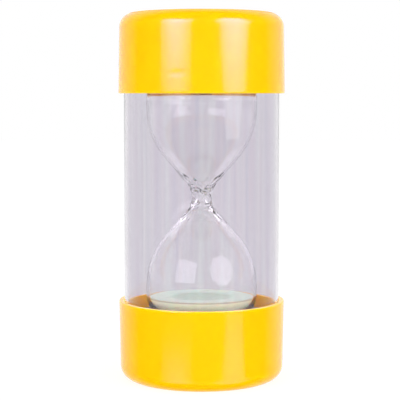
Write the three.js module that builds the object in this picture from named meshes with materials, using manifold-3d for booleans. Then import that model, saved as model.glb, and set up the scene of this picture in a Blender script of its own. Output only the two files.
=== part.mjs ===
// A classroom sand timer: a sealed glass ampoule of sand, cushioned between foam pads
// inside a clear plastic tube, with a moulded cap glued over each end of the tube.
// Millimetres, +Z up. The origin is the centre of the face that the timer stands on,
// and the timer stands equally well on its other end.

import * as THREE from "three";
import { mergeVertices } from "three/addons/utils/BufferGeometryUtils.js";
import Module from "manifold-3d";

const wasm = await Module();
wasm.setup();

// ---- Driving dimensions ----

const TOTAL_HEIGHT = 160;
const FIT_GAP = 0.3; // clearance left between pieces that touch on the real timer

// Moulded caps
const CAP_RADIUS = 36.25; // at the open rim
const CAP_HEIGHT = 34.8;
const CAP_DRAFT = 0.5; // the cap is this much narrower at its closed end
const CAP_EDGE_RADIUS = 6.2; // the rounding between the side and the end face
const CAP_WALL = 2.1;
const CAP_FLOOR = 2.6;
const RIM_ROUNDING = 0.5;
const FACE_RECESS_RADIUS = 21.5; // a shallow dish in the end face, so the cap stands on a ring
const FACE_RECESS_DEPTH = 0.5;
const FACE_RECESS_SLOPE = 1.2;

// The ring and ribs inside each cap, which carry the tube's end and the foam pad
const SEAT_HEIGHT = 21;
const RIB_COUNT = 8;
const RIB_THICKNESS = 1.6;
const RIB_RING_RADIUS = 18; // at the middle of the ring's wall

// Clear outer tube
const TUBE_RADIUS = CAP_RADIUS - CAP_WALL - FIT_GAP;
const TUBE_WALL = 1.5;

// Foam pads
const PAD_THICKNESS = 8;

// Glass ampoule
const AMPOULE_RADIUS = 24.2;
const FOOT_SINK = 0.8; // how far the ampoule's end presses into the foam
const GLASS_WALL = 1.1;
const GLASS_END_WALL = 1.5;
const FOOT_RADIUS = 8.5; // the rounding at the ends of the ampoule
const SHOULDER_RADIUS = 32;
const FUNNEL_ANGLE = 41.5; // degrees between the funnel's wall and the axis
const NECK_RADIUS = 4.3;
const NECK_FILLET = 9;
const ORIFICE_RADIUS = 0.9;
const ORIFICE_FILLET = 3;
const THROAT_ANGLE = 37; // degrees between the axis and the inside of the thick neck
const THROAT_LENGTH = 8; // from the waist
const THROAT_LIP = 1.8; // the height over which the thick glass thins to the funnel's wall
const FILL_HOLE_RADIUS = 5.5;

// Stopper in the fill hole, at the ampoule's upper end
const STOPPER_LENGTH = 7;
const STOPPER_TAPER = 0.5;

// Sand, all of it in the lower bulb
const SAND_TOP = 36.8; // where it meets the glass
const SAND_DISH_DEPTH = 1.0; // the middle of its surface lies this much lower
const SAND_DISH_RADIUS = 14.5;

// Facets around the axis, and steps along an arc of a profile
const ROUND_FACETS = 64;
const GLASS_FACETS = 48;
const ARC_STEPS = 5;

// ---- Derived dimensions ----

const MIDDLE = TOTAL_HEIGHT / 2;
const CAP_INNER_RADIUS = CAP_RADIUS - CAP_WALL;
const PAD_BOTTOM = SEAT_HEIGHT + FIT_GAP;
const PAD_TOP = PAD_BOTTOM + PAD_THICKNESS;
const TUBE_BORE = TUBE_RADIUS - TUBE_WALL;
const AMPOULE_END = PAD_TOP - FOOT_SINK;
const AMPOULE_HALF_LENGTH = MIDDLE - AMPOULE_END;
const FUNNEL_SLOPE = Math.tan(THREE.MathUtils.degToRad(FUNNEL_ANGLE));
const THROAT_SLOPE = Math.tan(THREE.MathUtils.degToRad(THROAT_ANGLE));

// ---- Shape helpers ----

// Points on a circle of the given centre and radius, from one angle to the other, in degrees.
// Profiles are (distance from the axis, height) pairs.
function arc(r, h, radius, fromDegrees, toDegrees, steps = ARC_STEPS) {
  const points = [];
  for (let i = 0; i <= steps; i++) {
    const angle = THREE.MathUtils.degToRad(fromDegrees + ((toDegrees - fromDegrees) * i) / steps);
    points.push([r + radius * Math.cos(angle), h + radius * Math.sin(angle)]);
  }
  return points;
}

// A body turned about the Z axis from its profile.
function turned(profile, facets = ROUND_FACETS) {
  const points = profile.map(([r, h]) => new THREE.Vector2(r, h));
  return new THREE.LatheGeometry(points, facets).rotateX(Math.PI / 2);
}

function toSolid(geometry) {
  const bare = new THREE.BufferGeometry();
  bare.setAttribute("position", geometry.getAttribute("position"));
  bare.setIndex(geometry.index);
  const merged = mergeVertices(bare, 1e-3);
  return new wasm.Manifold(
    new wasm.Mesh({
      numProp: 3,
      vertProperties: merged.getAttribute("position").array,
      triVerts: new Uint32Array(merged.index.array),
    }),
  );
}

function toGeometry(solid) {
  const mesh = solid.getMesh();
  const geometry = new THREE.BufferGeometry();
  geometry.setAttribute("position", new THREE.BufferAttribute(mesh.vertProperties, 3));
  geometry.setIndex(new THREE.BufferAttribute(mesh.triVerts, 1));
  geometry.computeVertexNormals();
  return geometry;
}

function piece(name, geometry, material) {
  const mesh = new THREE.Mesh(geometry, material);
  mesh.name = name;
  return mesh;
}

// ---- Materials ----

function plastic(color, roughness) {
  return new THREE.MeshStandardMaterial({ color, roughness, metalness: 0 });
}

function clear(color, roughness, opacity) {
  const material = plastic(color, roughness);
  material.transparent = true;
  material.opacity = opacity;
  return material;
}

const capYellow = plastic("#ffcc05", 0.25);
const clearPlastic = clear("#e4e0ea", 0.08, 0.25);
const clearGlass = clear("#e8eaec", 0.03, 0.3);
const darkFoam = plastic("#3a363b", 0.95);
const paleSand = plastic("#d5dccd", 0.9);
const corkBrown = plastic("#b88a5c", 0.9);

// ---- Caps ----

// The side wall, the floor and the rounding between them.
function capShell() {
  const closedRadius = CAP_RADIUS - CAP_DRAFT;
  const edgeCentre = closedRadius - CAP_EDGE_RADIUS;
  const innerEdgeRadius = CAP_EDGE_RADIUS - CAP_WALL;
  return turned([
    [0, FACE_RECESS_DEPTH],
    [FACE_RECESS_RADIUS, FACE_RECESS_DEPTH],
    [FACE_RECESS_RADIUS + FACE_RECESS_SLOPE, 0],
    ...arc(edgeCentre, CAP_EDGE_RADIUS, CAP_EDGE_RADIUS, -90, 0),
    ...arc(CAP_RADIUS - RIM_ROUNDING, CAP_HEIGHT - RIM_ROUNDING, RIM_ROUNDING, 0, 90, 2),
    [CAP_INNER_RADIUS, CAP_HEIGHT],
    [CAP_INNER_RADIUS, SEAT_HEIGHT],
    [closedRadius - CAP_WALL, SEAT_HEIGHT - 1],
    ...arc(edgeCentre, CAP_FLOOR + innerEdgeRadius, innerEdgeRadius, 0, -90, 3),
    [0, CAP_FLOOR],
  ]);
}

// A ring that stands on the floor and joins the inner ends of the ribs.
function ribRing() {
  const inner = RIB_RING_RADIUS - RIB_THICKNESS / 2;
  const outer = RIB_RING_RADIUS + RIB_THICKNESS / 2;
  return turned([
    [inner, CAP_FLOOR - 1],
    [outer, CAP_FLOOR - 1],
    [outer, SEAT_HEIGHT],
    [inner, SEAT_HEIGHT],
    [inner, CAP_FLOOR - 1],
  ]);
}

// A block that lies along X, between two distances from the axis and two heights.
function ribBlock(near, far, low, high) {
  const block = new THREE.BoxGeometry(far - near, RIB_THICKNESS, high - low);
  return block.translate((near + far) / 2, 0, (low + high) / 2);
}

// A rib that runs from the ring into the side wall. Its foot is shorter than the rest,
// because the floor meets the wall in a curve.
function rib() {
  const wallMiddle = CAP_RADIUS - CAP_DRAFT - CAP_WALL / 2;
  const footEnd = CAP_RADIUS - CAP_DRAFT - CAP_EDGE_RADIUS;
  const upright = ribBlock(RIB_RING_RADIUS, wallMiddle, CAP_EDGE_RADIUS, SEAT_HEIGHT);
  const foot = ribBlock(RIB_RING_RADIUS, footEnd, CAP_FLOOR - 1, CAP_EDGE_RADIUS + 1);
  return toSolid(upright).add(toSolid(foot));
}

// The cap stands on its closed end, with its open end up.
function capGeometry() {
  let cap = toSolid(capShell()).add(toSolid(ribRing()));
  for (let i = 0; i < RIB_COUNT; i++) {
    cap = cap.add(rib().rotate([0, 0, (360 * i) / RIB_COUNT]));
  }
  return toGeometry(cap);
}

// ---- Clear tube ----

function tubeGeometry() {
  const low = PAD_BOTTOM;
  const high = TOTAL_HEIGHT - PAD_BOTTOM;
  return turned([
    [TUBE_BORE, low],
    [TUBE_RADIUS, low],
    [TUBE_RADIUS, high],
    [TUBE_BORE, high],
    [TUBE_BORE, low],
  ]);
}

// ---- Glass ampoule ----

// Outlines of half of the ampoule, as pairs of distance from the axis and distance from the
// waist. Outside, the neck blends into a straight funnel, and the funnel into the bulb.
const neckOutline = arc(NECK_RADIUS + NECK_FILLET, 0, NECK_FILLET, 180, 180 - FUNNEL_ANGLE, 4);
const [neckEndRadius, neckEnd] = neckOutline.at(-1);
const [shoulderDrop, shoulderLength] = arc(-SHOULDER_RADIUS, 0, SHOULDER_RADIUS, FUNNEL_ANGLE, 0)[0];
const funnelLength = (AMPOULE_RADIUS + shoulderDrop - neckEndRadius) / FUNNEL_SLOPE;
const shoulderHeight = neckEnd + funnelLength + shoulderLength;

// The funnel from a given distance from the waist, and the bulb down to its rounded end. The
// inner surface lies a little inside the outer one.
function bulbOutline(inset, halfLength, funnelStart) {
  const body = AMPOULE_RADIUS - inset;
  const shoulder = SHOULDER_RADIUS - inset;
  const foot = FOOT_RADIUS - inset;
  const shoulderArc = arc(body - shoulder, shoulderHeight, shoulder, -FUNNEL_ANGLE, 0);
  const [r, s] = shoulderArc[0];
  return [
    [r - (s - funnelStart) * FUNNEL_SLOPE, funnelStart],
    ...shoulderArc,
    ...arc(body - foot, halfLength - foot, foot, 0, 90),
  ];
}

// The inside of the neck, where the glass is thick.
function throatOutline() {
  const fillet = arc(ORIFICE_RADIUS + ORIFICE_FILLET, 0, ORIFICE_FILLET, 180, 180 - THROAT_ANGLE, 3);
  const [r, s] = fillet.at(-1);
  return [...fillet, [r + (THROAT_LENGTH - s) * THROAT_SLOPE, THROAT_LENGTH]];
}

// One fused piece of glass. The only way in is the fill hole in its upper end.
function ampouleGeometry() {
  const outer = [...neckOutline.slice(0, -1), ...bulbOutline(0, AMPOULE_HALF_LENGTH, neckEnd)];
  const inner = [
    ...throatOutline(),
    ...bulbOutline(GLASS_WALL, AMPOULE_HALF_LENGTH - GLASS_END_WALL, THROAT_LENGTH + THROAT_LIP),
  ];
  const above = ([r, s]) => [r, MIDDLE + s];
  const below = ([r, s]) => [r, MIDDLE - s];
  const top = MIDDLE + AMPOULE_HALF_LENGTH;
  const bottom = MIDDLE - AMPOULE_HALF_LENGTH;
  const profile = [
    [0, bottom],
    ...outer.toReversed().map(below),
    ...outer.slice(1).map(above),
    [FILL_HOLE_RADIUS, top],
    [FILL_HOLE_RADIUS, top - GLASS_END_WALL],
    ...inner.toReversed().map(above),
    ...inner.slice(1).map(below),
    [0, bottom + GLASS_END_WALL],
  ];
  return turned(profile, GLASS_FACETS);
}

// ---- Stopper ----

function stopperGeometry() {
  const outside = MIDDLE + AMPOULE_HALF_LENGTH;
  const wide = FILL_HOLE_RADIUS - FIT_GAP;
  return turned(
    [
      [0, outside - STOPPER_LENGTH],
      [wide - STOPPER_TAPER, outside - STOPPER_LENGTH],
      [wide, outside],
      [0, outside],
    ],
    GLASS_FACETS / 2,
  );
}

// ---- Sand ----

function sandGeometry() {
  const floor = AMPOULE_END + GLASS_END_WALL + FIT_GAP;
  const cornerRadius = FOOT_RADIUS - GLASS_WALL - FIT_GAP;
  const cornerCentre = AMPOULE_RADIUS - FOOT_RADIUS;
  const cornerHeight = floor + cornerRadius;
  const topAngle = THREE.MathUtils.radToDeg(Math.asin((SAND_TOP - cornerHeight) / cornerRadius));
  return turned(
    [
      [0, floor],
      ...arc(cornerCentre, cornerHeight, cornerRadius, -90, topAngle),
      [SAND_DISH_RADIUS, SAND_TOP],
      [SAND_DISH_RADIUS / 2, SAND_TOP - SAND_DISH_DEPTH * 0.75],
      [0, SAND_TOP - SAND_DISH_DEPTH],
    ],
    GLASS_FACETS,
  );
}

// ---- Foam pad ----

// The lower pad. Its top is pressed into the shape of the ampoule's rounded end.
function padGeometry() {
  const pressRadius = FOOT_RADIUS + FIT_GAP;
  const pressHeight = AMPOULE_END + FOOT_RADIUS;
  const centre = AMPOULE_RADIUS - FOOT_RADIUS;
  const lipAngle = THREE.MathUtils.radToDeg(Math.asin((PAD_TOP - pressHeight) / pressRadius));
  const padRadius = TUBE_BORE - FIT_GAP;
  return turned(
    [
      [0, PAD_BOTTOM],
      [padRadius, PAD_BOTTOM],
      [padRadius, PAD_TOP],
      ...arc(centre, pressHeight, pressRadius, lipAngle, -90, 3),
      [0, AMPOULE_END - FIT_GAP],
    ],
    GLASS_FACETS,
  );
}

// ---- Assembly ----

// The upper end repeats the lower end, turned over.
function turnedOver(mesh) {
  mesh.rotation.x = Math.PI;
  mesh.position.z = TOTAL_HEIGHT;
  return mesh;
}

const timer = new THREE.Group();
timer.add(
  piece("lower_cap", capGeometry(), capYellow),
  turnedOver(piece("upper_cap", capGeometry(), capYellow)),
  piece("outer_tube", tubeGeometry(), clearPlastic),
  piece("lower_foam_pad", padGeometry(), darkFoam),
  turnedOver(piece("upper_foam_pad", padGeometry(), darkFoam)),
  piece("glass_ampoule", ampouleGeometry(), clearGlass),
  piece("fill_stopper", stopperGeometry(), corkBrown),
  piece("sand_bed", sandGeometry(), paleSand),
);

export default timer;
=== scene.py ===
"""The looks of a classroom sand timer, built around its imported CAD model. Metres, +Z up.

The timer is a sealed glass ampoule of sand, held between two foam pads inside a clear
plastic tube, with a glossy yellow cap over each end of the tube.
"""

import math

import bpy
import bmesh
import numpy as np
from mathutils import Matrix, Vector, noise


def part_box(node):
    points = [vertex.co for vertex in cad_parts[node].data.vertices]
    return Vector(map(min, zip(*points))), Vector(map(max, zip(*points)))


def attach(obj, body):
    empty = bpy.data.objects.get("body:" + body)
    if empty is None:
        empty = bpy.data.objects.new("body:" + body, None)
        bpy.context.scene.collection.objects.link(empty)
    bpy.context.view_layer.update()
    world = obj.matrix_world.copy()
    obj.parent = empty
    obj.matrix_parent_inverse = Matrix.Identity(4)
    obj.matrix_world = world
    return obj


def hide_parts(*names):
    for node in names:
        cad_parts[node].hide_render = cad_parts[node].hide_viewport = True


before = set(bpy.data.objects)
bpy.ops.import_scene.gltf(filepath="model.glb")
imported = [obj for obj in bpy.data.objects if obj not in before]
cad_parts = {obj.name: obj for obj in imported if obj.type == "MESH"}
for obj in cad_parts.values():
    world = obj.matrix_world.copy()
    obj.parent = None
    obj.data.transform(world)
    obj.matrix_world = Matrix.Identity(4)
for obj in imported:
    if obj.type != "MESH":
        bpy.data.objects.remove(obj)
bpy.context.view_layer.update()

MM = 0.001

# ---- Sizes taken from the frame ----

TOTAL_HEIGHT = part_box("upper_cap")[1].z
MIDDLE = TOTAL_HEIGHT / 2
CAP_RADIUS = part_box("lower_cap")[1].x
CAP_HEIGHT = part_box("lower_cap")[1].z
TUBE_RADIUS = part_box("outer_tube")[1].x
TUBE_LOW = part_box("outer_tube")[0].z
TUBE_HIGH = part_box("outer_tube")[1].z
PAD_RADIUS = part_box("lower_foam_pad")[1].x
PAD_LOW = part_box("lower_foam_pad")[0].z
PAD_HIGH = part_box("lower_foam_pad")[1].z
AMPOULE_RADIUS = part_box("glass_ampoule")[1].x
AMPOULE_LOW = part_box("glass_ampoule")[0].z
STOPPER_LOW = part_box("fill_stopper")[0].z
STOPPER_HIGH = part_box("fill_stopper")[1].z
STOPPER_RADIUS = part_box("fill_stopper")[1].x
SAND_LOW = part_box("sand_bed")[0].z
SAND_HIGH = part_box("sand_bed")[1].z

# ---- Sizes that the frame's boxes don't hold ----

CAP_DRAFT = 0.5 * MM
CAP_EDGE_RADIUS = 6.2 * MM
CAP_WALL = 2.1 * MM
CAP_FLOOR = 2.6 * MM
GLUE_LINE = 0.04 * MM  # between a cap's wall and the tube
RIM_ROUNDING = 0.5 * MM
FACE_RECESS_RADIUS = 21.5 * MM
FACE_RECESS_DEPTH = 0.5 * MM
FACE_RECESS_SLOPE = 1.2 * MM
GATE_RADIUS = 1.6 * MM  # the mark left by the mould's inlet, in the middle of the end face
GATE_FLOOR_RADIUS = 0.8 * GATE_RADIUS
GATE_DEPTH = 0.25 * MM
SEAT_HEIGHT = 21 * MM
SEAT_BEVEL = 1 * MM
RIB_COUNT = 8
RIB_THICKNESS = 1.6 * MM
RIB_RING_RADIUS = 18 * MM
RIB_OVERLAP = 1 * MM  # how far the ring and the ribs sink into what they join

TUBE_WALL = 1.5 * MM
TUBE_END_ROUNDING = 0.2 * MM

GLASS_WALL = 1.1 * MM
GLASS_END_WALL = 1.5 * MM
FOOT_RADIUS = 8.5 * MM
SHOULDER_RADIUS = 32 * MM
FUNNEL_ANGLE = math.radians(41.5)
NECK_RADIUS = 4.3 * MM
NECK_FILLET = 9 * MM
ORIFICE_RADIUS = 0.9 * MM
ORIFICE_FILLET = 3 * MM
THROAT_ANGLE = math.radians(37)
THROAT_LENGTH = 8 * MM
THROAT_LIP = 1.8 * MM
FILL_HOLE_RADIUS = 5.5 * MM

# The shoulder starts where a cone from the neck's fillet reaches it.
NECK_CONE = NECK_RADIUS + NECK_FILLET * (1 - math.cos(FUNNEL_ANGLE))
SHOULDER_CONE = AMPOULE_RADIUS - SHOULDER_RADIUS * (1 - math.cos(FUNNEL_ANGLE))
SHOULDER_HEIGHT = (
    (NECK_FILLET + SHOULDER_RADIUS) * math.sin(FUNNEL_ANGLE)
    + (SHOULDER_CONE - NECK_CONE) / math.tan(FUNNEL_ANGLE)
)

# Glass worked in a flame is uneven near the waist. Bulges and lumps move a point by a share of
# its distance from the axis, and a drift moves it up or down. Each has a size and a strength.
FLAME_REACH = 12 * MM
FLAME_FADE = 1.6  # more than 1 keeps full strength round the waist, before a steeper fade
BULGE_SIZE = 2.6 * MM
BULGE = 0.10
LUMP_SIZE = 1.1 * MM
LUMP_OUTSIDE = 0.06
LUMP_INSIDE = 0.15
DRIFT_SIZE = 3 * MM
DRIFT = 0.5 * MM

STOPPER_TAPER = 0.5 * MM
STOPPER_ROUNDING = 0.4 * MM
STOPPER_FACETS = 64

SAND_DISH_DEPTH = 1.0 * MM
SAND_DISH_RADIUS = 14.5 * MM
SAND_RING_SPACING = 0.4 * MM
RIPPLE_SIZE = 6 * MM
RIPPLE_HEIGHT = 0.12 * MM
GRAININESS_SIZE = 0.5 * MM
GRAININESS_HEIGHT = 0.06 * MM
SAND_SETTLING = 0.05 * MM  # how far the rippled surface lies below the smooth one
GRAIN_SIZE = 0.35 * MM

PAD_GAP = 0.3 * MM  # between a pad and the ampoule
PAD_ROUNDING = 0.6 * MM

# Moulding left a shallow oval dent in the upper cap's side.
SINK_MARK_RADII = (4.6 * MM, 2.0 * MM)
SINK_MARK_DEPTH = 0.045 * MM
SINK_MARK_HEIGHT = 133.5 * MM
SINK_MARK_AZIMUTH = math.radians(-16)  # from the front, plus to the right

ROUND_FACETS = 192
ARC_DEGREES_PER_STEP = 6
NECK_DEGREES_PER_STEP = 2
SHARP_DEGREES = 35  # edges that turn by more than this stay sharp
ON_AXIS = 1e-9


# ---- Mesh helpers ----


def arc(r, z, radius, from_degrees, to_degrees, degrees_per_step=ARC_DEGREES_PER_STEP):
    """Points on a circle, as (distance from the axis, height) pairs."""
    steps = max(2, math.ceil(abs(to_degrees - from_degrees) / degrees_per_step))
    angles = np.radians(np.linspace(from_degrees, to_degrees, steps + 1))
    return [(r + radius * math.cos(a), z + radius * math.sin(a)) for a in angles]


def run(start, end, step):
    """The points of a straight stretch after its start, no further apart than step."""
    count = max(1, math.ceil(math.dist(start, end) / step))
    return [tuple(np.array(start) + (np.array(end) - np.array(start)) * i / count)
            for i in range(1, count + 1)]


def add_object(name, bm):
    """A smooth-shaded object from a bmesh, with its sharp edges left sharp."""
    bmesh.ops.recalc_face_normals(bm, faces=bm.faces)
    mesh = bpy.data.meshes.new(name)
    bm.to_mesh(mesh)
    bm.free()
    mesh.shade_smooth()
    mesh.set_sharp_from_angle(angle=math.radians(SHARP_DEGREES))
    piece = bpy.data.objects.new(name, mesh)
    bpy.context.scene.collection.objects.link(piece)
    return piece


def turned(name, profile, facets=ROUND_FACETS):
    """A closed body turned about the Z axis. Its profile runs from axis to axis, or is a loop."""
    bm = bmesh.new()
    angles = [2 * math.pi * i / facets for i in range(facets)]
    rings = []
    for r, z in profile:
        if r < ON_AXIS:
            rings.append([bm.verts.new((0, 0, z))])
        else:
            rings.append([bm.verts.new((r * math.cos(a), r * math.sin(a), z)) for a in angles])
    pairs = list(zip(rings, rings[1:]))
    if len(rings[0]) > 1:
        pairs.append((rings[-1], rings[0]))
    for one, other in pairs:
        for i in range(facets):
            j = (i + 1) % facets
            corners = [(one, i), (one, j), (other, j), (other, i)]
            bm.faces.new(dict.fromkeys(ring[at % len(ring)] for ring, at in corners))
    return add_object(name, bm)


def block(name, low, high):
    """A box between two corners, to be joined to another piece."""
    bm = bmesh.new()
    bmesh.ops.create_cube(bm, size=1)
    centre = (Vector(low) + Vector(high)) / 2
    size = Vector(high) - Vector(low)
    for vertex in bm.verts:
        vertex.co = centre + Vector(c * s for c, s in zip(vertex.co, size))
    return add_object(name, bm)


def join(base, others):
    """Unites other pieces with a base piece, and removes them."""
    for other in others:
        modifier = base.modifiers.new("join", "BOOLEAN")
        modifier.operation = "UNION"
        modifier.solver = "EXACT"
        modifier.object = other
    apply_modifiers(base)
    for other in others:
        bpy.data.objects.remove(other)
    base.data.set_sharp_from_angle(angle=math.radians(SHARP_DEGREES))


def apply_modifiers(piece):
    """Makes what a piece's modifiers show its own mesh."""
    graph = bpy.context.evaluated_depsgraph_get()
    mesh = bpy.data.meshes.new_from_object(piece.evaluated_get(graph))
    piece.modifiers.clear()
    piece.data = mesh


def turned_over(piece, name, spin_degrees=0):
    """A copy of a lower piece, turned over to the upper end."""
    copy = piece.copy()
    copy.data = piece.data.copy()
    copy.name = name
    spin = Matrix.Rotation(math.radians(spin_degrees), 4, "Z")
    flip = Matrix.Translation((0, 0, TOTAL_HEIGHT)) @ Matrix.Rotation(math.pi, 4, "X")
    copy.data.transform(flip @ spin)
    bpy.context.scene.collection.objects.link(copy)
    return copy


def finish_piece(piece, node, material):
    """Gives a piece its material, and puts it in the place of a CAD node."""
    piece.data.materials.clear()
    piece.data.materials.append(material)
    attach(piece, "root")
    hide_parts(node)


# ---- Material helpers ----


class Nodes:
    """The node tree of a material or a world, with short ways to add the nodes used here."""

    def __init__(self, owner):
        owner.use_nodes = True
        self.owner = owner
        self.tree = owner.node_tree
        self.shader = self.tree.nodes.get("Principled BSDF")
        self.output = self.tree.nodes.get("Material Output")
        self.place = self.tree.nodes.new("ShaderNodeTexCoord").outputs["Object"]

    def add(self, kind, inputs=(), **settings):
        """A node with its settings made, and its inputs filled or linked, by name or number."""
        node = self.tree.nodes.new(kind)
        for key, value in settings.items():
            setattr(node, key, value)
        for key, value in dict(inputs).items():
            if isinstance(value, bpy.types.NodeSocket):
                self.tree.links.new(value, node.inputs[key])
            else:
                node.inputs[key].default_value = value
        return node

    def set(self, **values):
        """Sets the shader's own sockets to plain values."""
        for key, value in values.items():
            self.shader.inputs[key.replace("_", " ")].default_value = value

    def link(self, output, socket):
        """Leads a node's output into one of the shader's sockets."""
        self.tree.links.new(output, self.shader.inputs[socket])

    def scaled(self, scale):
        """The place with each axis scaled. A small scale stretches a pattern along that axis."""
        return self.add("ShaderNodeMapping", {"Vector": self.place, "Scale": scale}).outputs[0]

    def height(self):
        return self.add("ShaderNodeSeparateXYZ", {0: self.place}).outputs["Z"]

    def radius(self):
        """The distance from the timer's axis."""
        flat = self.scaled((1, 1, 0))
        return self.add("ShaderNodeVectorMath", {0: flat}, operation="LENGTH").outputs["Value"]

    def noise(self, size, detail=2.0, roughness=0.5, vector=None):
        """Noise with features of about the given size, in metres."""
        inputs = {
            "Vector": vector or self.place,
            "Scale": 1 / size,
            "Detail": detail,
            "Roughness": roughness,
        }
        return self.add("ShaderNodeTexNoise", inputs).outputs["Fac"]

    def cells(self, size):
        """Cells of about the given size, in metres. "Color" is random, one for each cell, and
        "Distance" grows from each cell's middle."""
        return self.add("ShaderNodeTexVoronoi", {"Vector": self.place, "Scale": 1 / size}).outputs

    def red(self, colour):
        """A colour's red part: a random number, where the colour is random."""
        return self.add("ShaderNodeSeparateColor", {0: colour}).outputs["Red"]

    def ramp(self, factor, stops):
        """A colour ramp. Each stop is a place from 0 to 1 and a colour."""
        node = self.add("ShaderNodeValToRGB", {"Fac": factor})
        elements = node.color_ramp.elements
        while len(elements) < len(stops):
            elements.new(0.5)
        for element, (place, colour) in zip(elements, stops):
            element.position = place
            element.color = (*colour, 1)
        return node.outputs["Color"]

    def remap(self, value, span, levels, smooth=False):
        """Goes from one level to another as a value crosses a span, and holds them past it."""
        inputs = {"Value": value, 1: span[0], 2: span[1], 3: levels[0], 4: levels[1]}
        kind = "SMOOTHSTEP" if smooth else "LINEAR"
        return self.add("ShaderNodeMapRange", inputs, interpolation_type=kind).outputs[0]

    def maths(self, operation, first, second=0.0):
        return self.add("ShaderNodeMath", {0: first, 1: second}, operation=operation).outputs[0]

    def mix(self, factor, first, second):
        """The first number where the factor is 0, and the second where it is 1 or more."""
        inputs = {0: factor, 2: first, 3: second}
        return self.add("ShaderNodeMix", inputs, data_type="FLOAT").outputs[0]

    def by_ray(self, straight, mirrored, scattered):
        """A number that depends on whether a ray has been mirrored or scattered on its way."""
        path = self.add("ShaderNodeLightPath")
        level = self.mix(path.outputs["Glossy Depth"], straight, mirrored)
        return self.mix(path.outputs["Diffuse Depth"], level, scattered)

    def by_depth(self, outside, inside):
        """A number for rays that have not been through glass, and one for rays that have."""
        path = self.add("ShaderNodeLightPath")
        return self.mix(path.outputs["Transmission Depth"], outside, inside)

    def bump(self, height, distance, strength=1.0):
        """Bumps in the surface, as high as the given distance, in metres."""
        inputs = {"Height": height, "Distance": distance, "Strength": strength}
        self.link(self.add("ShaderNodeBump", inputs).outputs[0], "Normal")

    def let_lamps_through(self, colour):
        """Lets light from lamps, and light scattered inside, pass straight through glass."""
        path = self.add("ShaderNodeLightPath")
        clear = self.add("ShaderNodeBsdfTransparent", {"Color": (*colour, 1)})
        shader = self.shader.outputs[0]
        for ray in ("Is Shadow Ray", "Is Diffuse Ray"):
            inputs = {0: path.outputs[ray], 1: shader, 2: clear.outputs[0]}
            shader = self.add("ShaderNodeMixShader", inputs).outputs[0]
        self.tree.links.new(shader, self.output.inputs["Surface"])


# ---- Materials ----


def cap_plastic():
    """Glossy opaque yellow, with a faint orange peel and dull scuffs. The end faces are matt."""
    nodes = Nodes(bpy.data.materials.new("cap_yellow_plastic"))
    mottling = nodes.noise(size=18 * MM, detail=3)
    yellows = [(0.3, (0.98, 0.505, 0.0005)), (0.7, (1.0, 0.527, 0.001))]
    nodes.link(nodes.ramp(mottling, yellows), "Base Color")
    scuffs = nodes.noise(size=0.9 * MM, detail=6, roughness=0.75)
    side_roughness = nodes.remap(scuffs, span=(0.4, 0.8), levels=(0.10, 0.17))
    from_middle = nodes.maths("ABSOLUTE", nodes.maths("SUBTRACT", nodes.height(), MIDDLE))
    end_face = MIDDLE - FACE_RECESS_DEPTH
    near_face = (end_face - 0.4 * MM, end_face - 0.1 * MM)
    face_roughness = nodes.remap(from_middle, near_face, levels=(0, 0.7))
    nodes.link(nodes.maths("MAXIMUM", side_roughness, face_roughness), "Roughness")
    orange_peel = nodes.noise(size=2.4 * MM, detail=1)
    nodes.bump(orange_peel, distance=0.004 * MM)
    nodes.set(IOR=1.55, Specular_IOR_Level=0.85, Specular_Tint=(1.0, 0.2, 1.0, 1))
    nodes.set(Subsurface_Weight=0.8, Subsurface_Radius=(1.0, 0.6, 0.1), Subsurface_Scale=5 * MM)
    return nodes.owner


def tube_plastic():
    """Clear plastic with faint draw lines along its length, which tint it pinkish and bluish."""
    nodes = Nodes(bpy.data.materials.new("clear_tube_plastic"))
    drawn_out = nodes.scaled((1, 1, 0.02))
    lines = nodes.noise(size=3 * MM, detail=4, vector=drawn_out)
    tints = [
        (0.3, (0.748, 0.736, 0.808)),
        (0.45, (0.808, 0.768, 0.816)),
        (0.55, (0.798, 0.786, 0.83)),
        (0.7, (0.856, 0.844, 0.859)),
    ]
    nodes.link(nodes.ramp(lines, tints), "Base Color")
    nodes.set(Roughness=0.0, IOR=1.49, Transmission_Weight=1.0)
    fine_lines = nodes.noise(size=1.2 * MM, detail=2, vector=drawn_out)
    nodes.bump(fine_lines, distance=0.002 * MM)
    nodes.let_lamps_through((0.97, 0.965, 0.98))
    return nodes.owner


def ampoule_glass():
    """Clear lamp-blown glass, with gentle waves in its surface."""
    nodes = Nodes(bpy.data.materials.new("ampoule_glass"))
    nodes.set(Base_Color=(0.995, 0.995, 0.995, 1))
    nodes.set(Roughness=0.0, IOR=1.47, Transmission_Weight=1.0)
    waves = nodes.noise(size=7 * MM, detail=2)
    nodes.bump(waves, distance=0.02 * MM)
    nodes.let_lamps_through((0.99, 0.99, 0.99))
    return nodes.owner


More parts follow.
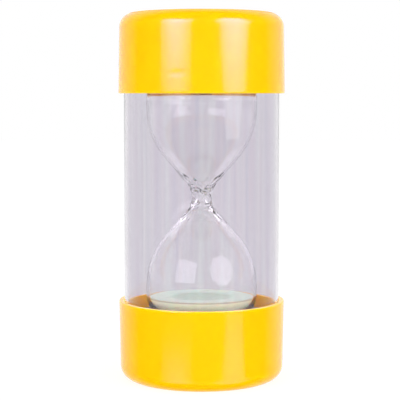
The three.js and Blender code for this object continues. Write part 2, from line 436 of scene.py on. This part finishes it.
def green_sand():
    """Fine dyed sand. Each grain has its own tone of pale green. Painted shade darkens the grains in
    the dish, and painted light makes the sand palest where it lies against the glass."""
    nodes = Nodes(bpy.data.materials.new("pale_green_sand"))
    grains = nodes.cells(GRAIN_SIZE)
    radius = nodes.radius()
    # Painted shade: towards the axis, each grain's random tone is multiplied down, so the dish reads
    # darker.
    dish_edge = (SAND_DISH_RADIUS - 2 * MM, SAND_DISH_RADIUS)
    dish_painted_shade = nodes.remap(radius, dish_edge, levels=(0.12, 0.8))
    grain_tone_with_painted_shade = nodes.maths("MULTIPLY", nodes.red(grains["Color"]), dish_painted_shade)
    # Painted light: below the top surface and outside the dish, the sand's side is lifted to a pale
    # colour in place of light that reaches it.
    under_surface = (SAND_HIGH - 0.7 * MM, SAND_HIGH - 0.3 * MM)
    is_low = nodes.remap(nodes.height(), under_surface, levels=(1, 0))
    past_dish = (SAND_DISH_RADIUS, SAND_DISH_RADIUS + 1 * MM)
    is_outer = nodes.remap(radius, past_dish, levels=(0, 1))
    side_painted_light = nodes.maths("MULTIPLY", is_low, is_outer)
    # The first four stops are the grains' own tones. The last is the painted light's colour for the
    # sand's side.
    grain_tones_and_painted_light = [
        (0.0, (0.33, 0.39, 0.32)),
        (0.24, (0.43, 0.50, 0.42)),
        (0.6, (0.48, 0.545, 0.475)),
        (0.8, (0.53, 0.575, 0.52)),
        (1.0, (0.80, 0.92, 0.72)),
    ]
    nodes.link(nodes.ramp(nodes.maths("MAXIMUM", grain_tone_with_painted_shade, side_painted_light), grain_tones_and_painted_light), "Base Color")
    nodes.set(Roughness=0.85, Subsurface_Weight=0.4, Subsurface_Scale=2 * MM)
    nodes.bump(grains["Distance"], distance=-0.12 * MM, strength=0.8)
    return nodes.owner


def dark_foam():
    """Matt closed-cell foam with small open pores on its cut faces. The pores' middles are darker,
    painted shade in their hollows.
    """
    nodes = Nodes(bpy.data.materials.new("dark_foam"))
    pores = nodes.cells(size=0.8 * MM)
    # Painted shade: the colour is darkest at each pore's middle, where the bump makes a hollow.
    greys_with_painted_pore_shade = [(0.1, (0.035, 0.03, 0.037)), (0.5, (0.11, 0.095, 0.11))]
    nodes.link(nodes.ramp(pores["Distance"], greys_with_painted_pore_shade), "Base Color")
    nodes.set(Roughness=0.95, Sheen_Weight=0.2)
    nodes.bump(pores["Distance"], distance=0.15 * MM)
    return nodes.owner


def cork():
    """Pressed cork: granules in several browns, with bumps between them."""
    nodes = Nodes(bpy.data.materials.new("cork"))
    granules = nodes.cells(size=1.3 * MM)
    browns = [(0.0, (0.22, 0.11, 0.05)), (1.0, (0.50, 0.31, 0.16))]
    nodes.link(nodes.ramp(nodes.red(granules["Color"]), browns), "Base Color")
    nodes.set(Roughness=0.9)
    nodes.bump(granules["Distance"], distance=0.1 * MM)
    return nodes.owner


# ---- Caps ----


def cap():
    """The lower cap: a cup with a rounded edge, and inside it a ring and ribs that form a seat."""
    closed = CAP_RADIUS - CAP_DRAFT
    edge_centre = closed - CAP_EDGE_RADIUS
    inner_edge = CAP_EDGE_RADIUS - CAP_WALL
    inner = TUBE_RADIUS + GLUE_LINE
    rim = CAP_HEIGHT - RIM_ROUNDING
    shell = turned("lower_cap_moulding", [
        (0, FACE_RECESS_DEPTH + GATE_DEPTH),
        (GATE_FLOOR_RADIUS, FACE_RECESS_DEPTH + GATE_DEPTH),
        (GATE_RADIUS, FACE_RECESS_DEPTH),
        (FACE_RECESS_RADIUS, FACE_RECESS_DEPTH),
        (FACE_RECESS_RADIUS + FACE_RECESS_SLOPE, 0),
        *arc(edge_centre, CAP_EDGE_RADIUS, CAP_EDGE_RADIUS, -90, 0),
        *run((closed, CAP_EDGE_RADIUS), (CAP_RADIUS, rim), step=0.5 * MM),
        *arc(CAP_RADIUS - RIM_ROUNDING, rim, RIM_ROUNDING, 0, 90)[1:],
        *arc(inner + RIM_ROUNDING, rim, RIM_ROUNDING, 90, 180),
        (inner, SEAT_HEIGHT),
        (closed - CAP_WALL, SEAT_HEIGHT - SEAT_BEVEL),
        *arc(edge_centre, CAP_FLOOR + inner_edge, inner_edge, 0, -90),
        (0, CAP_FLOOR),
    ])
    join(shell, [seat_ring(), *seat_ribs()])
    return shell


def seat_ring():
    foot = CAP_FLOOR - RIB_OVERLAP
    inner = RIB_RING_RADIUS - RIB_THICKNESS / 2
    outer = RIB_RING_RADIUS + RIB_THICKNESS / 2
    return turned("ring", [(inner, foot), (outer, foot), (outer, SEAT_HEIGHT), (inner, SEAT_HEIGHT)])


def seat_ribs():
    """Ribs from the ring out to the cap's wall. Each is an upright and a foot, narrow enough to
    clear the rounded edge."""
    closed = CAP_RADIUS - CAP_DRAFT
    half = RIB_THICKNESS / 2
    blocks = (
        ("rib", CAP_EDGE_RADIUS, closed - CAP_WALL / 2, SEAT_HEIGHT),
        ("rib_foot", CAP_FLOOR - RIB_OVERLAP, closed - CAP_EDGE_RADIUS, CAP_EDGE_RADIUS + RIB_OVERLAP),
    )
    parts = []
    for i in range(RIB_COUNT):
        turn = Matrix.Rotation(2 * math.pi * i / RIB_COUNT, 4, "Z")
        for name, bottom, reach, top in blocks:
            part = block(name, (RIB_RING_RADIUS, -half, bottom), (reach, half, top))
            part.data.transform(turn)
            parts.append(part)
    return parts


def dent(piece, azimuth, height, radii, depth):
    """Pushes an oval spot of a cap's side in a little. The radii are its half width and height."""
    for vertex in piece.data.vertices:
        x, y, z = vertex.co
        aside = CAP_RADIUS * (math.atan2(x, -y) - azimuth)
        nearness = 1 - (aside / radii[0]) ** 2 - ((z - height) / radii[1]) ** 2
        if nearness > 0 and vertex.co.xy.length > CAP_RADIUS - CAP_WALL / 2:
            vertex.co.xy *= 1 - depth / CAP_RADIUS * nearness ** 2


# ---- Tube ----


def tube():
    """A plain tube with its ends' edges rounded a little."""
    outer, inner, round_off = TUBE_RADIUS, TUBE_RADIUS - TUBE_WALL, TUBE_END_ROUNDING
    return turned("clear_outer_tube", [
        *arc(outer - round_off, TUBE_LOW + round_off, round_off, -90, 0),
        *arc(outer - round_off, TUBE_HIGH - round_off, round_off, 0, 90),
        *arc(inner + round_off, TUBE_HIGH - round_off, round_off, 90, 180),
        *arc(inner + round_off, TUBE_LOW + round_off, round_off, 180, 270),
    ])


# ---- Glass ampoule ----


def bulb(body, shoulder, foot, half_length, cone_start):
    """Half of one of the ampoule's surfaces, from the funnel's cone to the rounded end, as
    (distance from the axis, distance from the waist). cone_start is the cone's distance from
    the waist where this stretch begins."""
    tilt = math.degrees(FUNNEL_ANGLE)
    shoulder_arc = arc(body - shoulder, SHOULDER_HEIGHT, shoulder, -tilt, 0)
    cone_end = shoulder_arc[0]
    cone = (cone_end[0] - (cone_end[1] - cone_start) * math.tan(FUNNEL_ANGLE), cone_start)
    corner = arc(body - foot, half_length - foot, foot, 0, 90)
    return [
        cone,
        *run(cone, cone_end, step=1 * MM)[:-1],
        *shoulder_arc,
        *run(shoulder_arc[-1], corner[0], step=1.5 * MM)[:-1],
        *corner,
    ]


def throat():
    """The inside of the neck, where the glass is thick, out to the lip where the bulb begins."""
    tilt = math.degrees(THROAT_ANGLE)
    fillet = arc(ORIFICE_RADIUS + ORIFICE_FILLET, 0, ORIFICE_FILLET, 180, 180 - tilt)
    r, s = fillet[-1]
    end = (r + (THROAT_LENGTH - s) * math.tan(THROAT_ANGLE), THROAT_LENGTH)
    return [*fillet, *run(fillet[-1], end, step=0.4 * MM)]


def ampoule():
    """Two bulbs and a neck. The inside is open at the waist, and at the top for the stopper."""
    half = MIDDLE - AMPOULE_LOW
    tilt = math.degrees(FUNNEL_ANGLE)
    neck_centre = NECK_RADIUS + NECK_FILLET
    neck = arc(neck_centre, 0, NECK_FILLET, 180, 180 - tilt, NECK_DEGREES_PER_STEP)
    outer_bulb = bulb(AMPOULE_RADIUS, SHOULDER_RADIUS, FOOT_RADIUS, half, neck[-1][1])
    outer = [*neck[:-1], *outer_bulb]
    thinner = (AMPOULE_RADIUS - GLASS_WALL, SHOULDER_RADIUS - GLASS_WALL, FOOT_RADIUS - GLASS_WALL)
    inner = [*throat(), *bulb(*thinner, half - GLASS_END_WALL, THROAT_LENGTH + THROAT_LIP)]
    top = MIDDLE + half
    profile = [
        (0, MIDDLE - half),
        *[(r, MIDDLE - s) for r, s in reversed(outer)],
        *[(r, MIDDLE + s) for r, s in outer[1:]],
        (FILL_HOLE_RADIUS, top),
        (FILL_HOLE_RADIUS, top - GLASS_END_WALL),
        *[(r, MIDDLE + s) for r, s in reversed(inner)],
        *[(r, MIDDLE - s) for r, s in inner[1:]],
        (0, MIDDLE - half + GLASS_END_WALL),
    ]
    piece = turned("glass_ampoule_blown", profile)
    make_irregular(piece)
    return piece


def make_irregular(piece):
    """Gives the neck the uneven, drawn look of glass worked in a flame."""
    for vertex in piece.data.vertices:
        x, y, z = vertex.co
        nearness = min(1, FLAME_FADE * max(0, 1 - abs(z - MIDDLE) / FLAME_REACH))
        if nearness == 0:
            continue
        bulge = noise.noise(Vector((x, y, 0.6 * z)) / BULGE_SIZE)
        lump = noise.noise(Vector((x, y, z)) / LUMP_SIZE)
        drift = noise.noise(Vector((x, y, 0.3 * z)) / DRIFT_SIZE)
        lumpiness = LUMP_OUTSIDE if vertex.co.xy.length > NECK_RADIUS else LUMP_INSIDE
        vertex.co.xy *= 1 + (BULGE * bulge + lumpiness * lump) * nearness
        vertex.co.z += DRIFT * drift * nearness


def stopper():
    """A plug that is a little narrower at its lower end."""
    narrow = STOPPER_RADIUS - STOPPER_TAPER
    low, high = STOPPER_LOW + STOPPER_ROUNDING, STOPPER_HIGH - STOPPER_ROUNDING
    return turned("fill_hole_stopper", [
        (0, STOPPER_LOW),
        *arc(narrow - STOPPER_ROUNDING, low, STOPPER_ROUNDING, -90, 0),
        *arc(STOPPER_RADIUS - STOPPER_ROUNDING, high, STOPPER_ROUNDING, 0, 90),
        (0, STOPPER_HIGH),
    ], STOPPER_FACETS)


# ---- Sand ----


def sand():
    """The bed of sand, with its dished and slightly rippled surface."""
    corner = FOOT_RADIUS - GLASS_WALL - (SAND_LOW - AMPOULE_LOW - GLASS_END_WALL)
    centre = AMPOULE_RADIUS - FOOT_RADIUS
    top_angle = math.degrees(math.asin((SAND_HIGH - SAND_LOW - corner) / corner))
    side = arc(centre, SAND_LOW + corner, corner, -90, top_angle)
    top_radius = side[-1][0]
    count = int(top_radius / SAND_RING_SPACING)
    surface = []
    for i in range(1, count):
        r = top_radius * (1 - i / count)
        inside = max(0, 1 - (r / SAND_DISH_RADIUS) ** 2)
        surface.append((r, SAND_HIGH - SAND_DISH_DEPTH * inside))
    floor = run((0, SAND_LOW), side[0], step=2 * MM)[:-1]
    dish_bottom = (0, SAND_HIGH - SAND_DISH_DEPTH)
    piece = turned("green_sand", [(0, SAND_LOW), *floor, *side, *surface, dish_bottom])
    roughen_surface(piece, top_radius - SAND_RING_SPACING / 2)
    return piece


def roughen_surface(piece, reach):
    """Ripples and grains on the sand's top, out to a distance from the axis."""
    for vertex in piece.data.vertices:
        x, y, z = vertex.co
        if z > SAND_HIGH - 1.5 * SAND_DISH_DEPTH and math.hypot(x, y) < reach:
            ripple = noise.noise(Vector((x, y, 0)) / RIPPLE_SIZE)
            grain = noise.noise(Vector((x, y, 0)) / GRAININESS_SIZE)
            vertex.co.z += RIPPLE_HEIGHT * ripple + GRAININESS_HEIGHT * grain - SAND_SETTLING


# ---- Foam ----


def foam_pad():
    """The lower pad, pressed to the shape of the ampoule's rounded end."""
    press = FOOT_RADIUS + PAD_GAP
    press_height = AMPOULE_LOW + FOOT_RADIUS
    centre = AMPOULE_RADIUS - FOOT_RADIUS
    lip_angle = math.degrees(math.asin((PAD_HIGH - press_height) / press))
    pressed = arc(centre, press_height, press, lip_angle, -90)
    edge = PAD_RADIUS - PAD_ROUNDING
    return turned("lower_pad_foam", [
        (0, PAD_LOW),
        *run((0, PAD_LOW), (edge, PAD_LOW), step=2 * MM)[:-1],
        *arc(edge, PAD_LOW + PAD_ROUNDING, PAD_ROUNDING, -90, 0),
        *arc(edge, PAD_HIGH - PAD_ROUNDING, PAD_ROUNDING, 0, 90),
        *run((edge, PAD_HIGH), pressed[0], step=1 * MM),
        *pressed[1:],
        (0, AMPOULE_LOW - PAD_GAP),
    ])


# ---- Studio ----

CAMERA_LENS = 121.3
CAMERA_SENSOR = 36
CAMERA_DISTANCE = 0.5895
CAMERA_HEIGHT = 0.1249
CAMERA_AIM = (-0.0007, 0, 0.0786)

# In these names, INSIDE means as seen in or through the clear tube and the ampoule. The studio
# looks different there from how the caps mirror it.

CARD_DISTANCE = 1.2
CARD_LIGHT = 6.8
CARD_LIGHT_INSIDE = 4.8
CARD_SIDES = 0.3  # how bright a card's sides are, next to its middle
CARD_SIDES_INSIDE = 0.8
CARD_LOW_EDGE = 0.34  # how bright a card is along its lower edge, next to its middle
CARD_FADE = 0.18  # how far it takes from there up to full brightness
CARD_BRIGHT_SHARE = 0.1  # how much of its half width is at full brightness
RECTANGLE_HALF_SIZES = (0.47, 0.37)
OCTAGON_RADII = (0.61, 0.49)
TABLE_REFLECTION = 1.05
KEY_LIGHT = 1.6
KEY_LIGHT_SIZE = 0.94

BACKDROP_LIGHT = 1.0
BACKDROP_LIGHT_INSIDE = 1.3
BACKDROP_EDGES = (0.15, 0.9)  # where it begins and where it is full, as shares of straight back
BACKDROP_EDGES_INSIDE = (-0.44, -0.40)
ROOM_LIGHT = 0.01  # from everywhere that the backdrop isn't
ROOM_LIGHT_INSIDE = 0.8

# A bright patch above and behind, seen inside only. Its edges are shares of straight towards it.
SKYLIGHT_INSIDE = 2.8
SKYLIGHT_EDGES = (0.7, 0.8)
TOWARDS_SKYLIGHT = (0, 0.6, 0.8)

AMBIENT_LIGHT = 0.92  # what matt surfaces get from all round
AMBIENT_LIGHT_INSIDE = 2.2
FLOOR_HALF_WIDTH = 3.0
FLOOR_GLOW = 0.865
FLOOR_GLOW_MIRRORED = 0.85
FLOOR_GLOW_SCATTERED = 1.05

LIGHT_BOUNCES = 24


def camera():
    data = bpy.data.cameras.new("camera")
    data.lens = CAMERA_LENS
    data.sensor_width = CAMERA_SENSOR
    data.clip_start = 0.01
    viewer = bpy.data.objects.new("camera", data)
    viewer.location = (CAMERA_AIM[0], -CAMERA_DISTANCE, CAMERA_HEIGHT)
    aim = Vector(CAMERA_AIM) - viewer.location
    viewer.rotation_euler = aim.to_track_quat("-Z", "Y").to_euler()
    bpy.context.scene.collection.objects.link(viewer)
    bpy.context.scene.camera = viewer


def hang(lamp, azimuth, elevation):
    """Hangs a card or a lamp where it faces the timer. Azimuth 0 is towards the camera, and
    plus is to the right."""
    around, up = math.radians(azimuth), math.radians(elevation)
    direction = Vector((
        math.sin(around) * math.cos(up),
        -math.cos(around) * math.cos(up),
        math.sin(up),
    ))
    lamp.location = Vector((0, 0, MIDDLE)) + direction * CARD_DISTANCE
    lamp.rotation_euler = direction.to_track_quat("Z", "Y").to_euler()
    bpy.context.scene.collection.objects.link(lamp)


def light_card(name, outline, azimuth, elevation, light, light_inside, fade_start):
    """A glowing card, brightest in the middle and dim at its lower edge. It shows only in
    reflections and through glass."""
    bm = bmesh.new()
    bm.faces.new([bm.verts.new((x, y, 0)) for x, y in outline])
    mesh = bpy.data.meshes.new(name)
    bm.to_mesh(mesh)
    bm.free()
    card = bpy.data.objects.new(name, mesh)
    hang(card, azimuth, elevation)
    card.visible_camera = False
    card.visible_diffuse = False
    mesh.materials.append(card_glow(name, outline, light, light_inside, fade_start))


def card_glow(name, outline, light, light_inside, fade_start):
    """What a card's light looks like, from the outside and inside the tube."""
    nodes = Nodes(bpy.data.materials.new(name))
    nodes.tree.nodes.remove(nodes.shader)
    half_width = max(x for x, y in outline)
    bottom = min(y for x, y in outline) + fade_start
    across, up, _ = nodes.add("ShaderNodeSeparateXYZ", {0: nodes.place}).outputs
    aside = nodes.maths("ABSOLUTE", across)
    fade = nodes.remap(up, (bottom, bottom + CARD_FADE), (CARD_LOW_EDGE, 1), smooth=True)
    slope = (CARD_BRIGHT_SHARE * half_width, half_width)
    bell = nodes.remap(aside, slope, (light, light * CARD_SIDES), smooth=True)
    outside = nodes.maths("MULTIPLY", bell, fade)
    inside = nodes.remap(aside, (0, half_width), (light_inside, light_inside * CARD_SIDES_INSIDE))
    glow = nodes.add("ShaderNodeEmission", {"Strength": nodes.by_depth(outside, inside)})
    nodes.tree.links.new(glow.outputs[0], nodes.output.inputs["Surface"])
    return nodes.owner


def key_light(name, azimuth, elevation):
    """A soft lamp that shapes matt surfaces and doesn't show in reflections."""
    data = bpy.data.lights.new(name, "AREA")
    data.shape = "SQUARE"
    data.size = KEY_LIGHT_SIZE
    data.energy = KEY_LIGHT * math.pi * KEY_LIGHT_SIZE ** 2
    lamp = bpy.data.objects.new(name, data)
    hang(lamp, azimuth, elevation)
    lamp.visible_camera = False
    lamp.visible_glossy = False
    lamp.visible_transmission = False


def rectangle():
    x, y = RECTANGLE_HALF_SIZES
    return [(-x, -y), (x, -y), (x, y), (-x, y)]


def octagon():
    wide, high = OCTAGON_RADII
    angles = [math.radians(22.5 + 45 * i) for i in range(8)]
    return [(wide * math.cos(a), high * math.sin(a)) for a in angles]


def softboxes():
    """A rectangular softbox on the left and an octagonal one on the right, and what a glossy
    table would mirror of each. fade_start is how far up a softbox begins to brighten."""
    for side, outline, azimuth, elevation, table_elevation, fade_start in (
        ("left", rectangle(), -35.5, 20.5, -32.8, 0.01),
        ("right", octagon(), 45.5, 21.2, -33.5, 0.06),
    ):
        light_card("softbox_" + side, outline, azimuth, elevation,
                   CARD_LIGHT, CARD_LIGHT_INSIDE, fade_start)
        light_card("table_reflection_" + side, outline, azimuth, table_elevation,
                   TABLE_REFLECTION, TABLE_REFLECTION, fade_start=0)
        key_light("key_" + side, azimuth, elevation)


def backdrop():
    """White all round to look at and to look through. In reflections on the outside, the room is
    white only behind the timer and dark in front of it. Inside the tube it is bright all round,
    with a skylight above and behind, and matt surfaces in there get more light too."""
    nodes = Nodes(bpy.data.worlds.new("studio"))
    nodes.owner.cycles.sampling_method = "NONE"
    bpy.context.scene.world = nodes.owner
    direction = nodes.add("ShaderNodeTexCoord").outputs["Generated"]
    backwards = nodes.add("ShaderNodeSeparateXYZ", {0: direction}).outputs["Y"]
    towards = {0: direction, 1: TOWARDS_SKYLIGHT}
    skywards = nodes.add("ShaderNodeVectorMath", towards, operation="DOT_PRODUCT").outputs["Value"]
    outside = nodes.remap(backwards, BACKDROP_EDGES, (ROOM_LIGHT, BACKDROP_LIGHT))
    room_inside = (ROOM_LIGHT_INSIDE, BACKDROP_LIGHT_INSIDE)
    inside = nodes.remap(backwards, BACKDROP_EDGES_INSIDE, room_inside)
    skylight = nodes.remap(skywards, SKYLIGHT_EDGES, (0, SKYLIGHT_INSIDE))
    inside = nodes.maths("MAXIMUM", inside, skylight)
    path = nodes.add("ShaderNodeLightPath")
    ambient = nodes.mix(path.outputs["Transparent Depth"], AMBIENT_LIGHT, AMBIENT_LIGHT_INSIDE)
    level = nodes.by_ray(BACKDROP_LIGHT, nodes.by_depth(outside, inside), ambient)
    background = nodes.tree.nodes["Background"]
    background.inputs["Color"].default_value = (1, 1, 1, 1)
    nodes.tree.links.new(level, background.inputs["Strength"])


def pale_floor():
    """A matt floor, lit from within so that it stays as white as the backdrop."""
    size = FLOOR_HALF_WIDTH
    bm = bmesh.new()
    corners = [(-size, -size), (size, -size), (size, size), (-size, size)]
    bm.faces.new([bm.verts.new((x, y, 0)) for x, y in corners])
    floor = add_object("floor", bm)
    nodes = Nodes(bpy.data.materials.new("pale_floor"))
    nodes.set(Base_Color=(0.16, 0.16, 0.16, 1), Roughness=0.9, Specular_IOR_Level=0.0)
    nodes.set(Emission_Color=(1, 1, 1, 1))
    glow = nodes.by_ray(FLOOR_GLOW, FLOOR_GLOW_MIRRORED, FLOOR_GLOW_SCATTERED)
    nodes.link(glow, "Emission Strength")
    floor.data.materials.append(nodes.owner)
    floor.visible_glossy = False


def render_quality():
    """Enough bounces for glass inside plastic, and colours shown as they are."""
    scene = bpy.context.scene
    scene.view_settings.view_transform = "Standard"
    scene.cycles.max_bounces = LIGHT_BOUNCES
    scene.cycles.transmission_bounces = LIGHT_BOUNCES
    scene.cycles.transparent_max_bounces = LIGHT_BOUNCES
    scene.cycles.caustics_reflective = False
    scene.cycles.caustics_refractive = False
    scene.cycles.use_denoising = True


# ---- Assembly ----

render_quality()
camera()
softboxes()
backdrop()
pale_floor()

yellow = cap_plastic()
lower_cap = cap()
upper_cap = turned_over(lower_cap, "upper_cap_moulding", spin_degrees=17)
dent(upper_cap, SINK_MARK_AZIMUTH, SINK_MARK_HEIGHT, SINK_MARK_RADII, SINK_MARK_DEPTH)
finish_piece(lower_cap, "lower_cap", yellow)
finish_piece(upper_cap, "upper_cap", yellow)

finish_piece(tube(), "outer_tube", tube_plastic())
finish_piece(ampoule(), "glass_ampoule", ampoule_glass())
finish_piece(stopper(), "fill_stopper", cork())
finish_piece(sand(), "sand_bed", green_sand())

foam = dark_foam()
lower_pad = foam_pad()
upper_pad = turned_over(lower_pad, "upper_pad_foam")
for pad, node in ((lower_pad, "lower_foam_pad"), (upper_pad, "upper_foam_pad")):
    finish_piece(pad, node, foam)
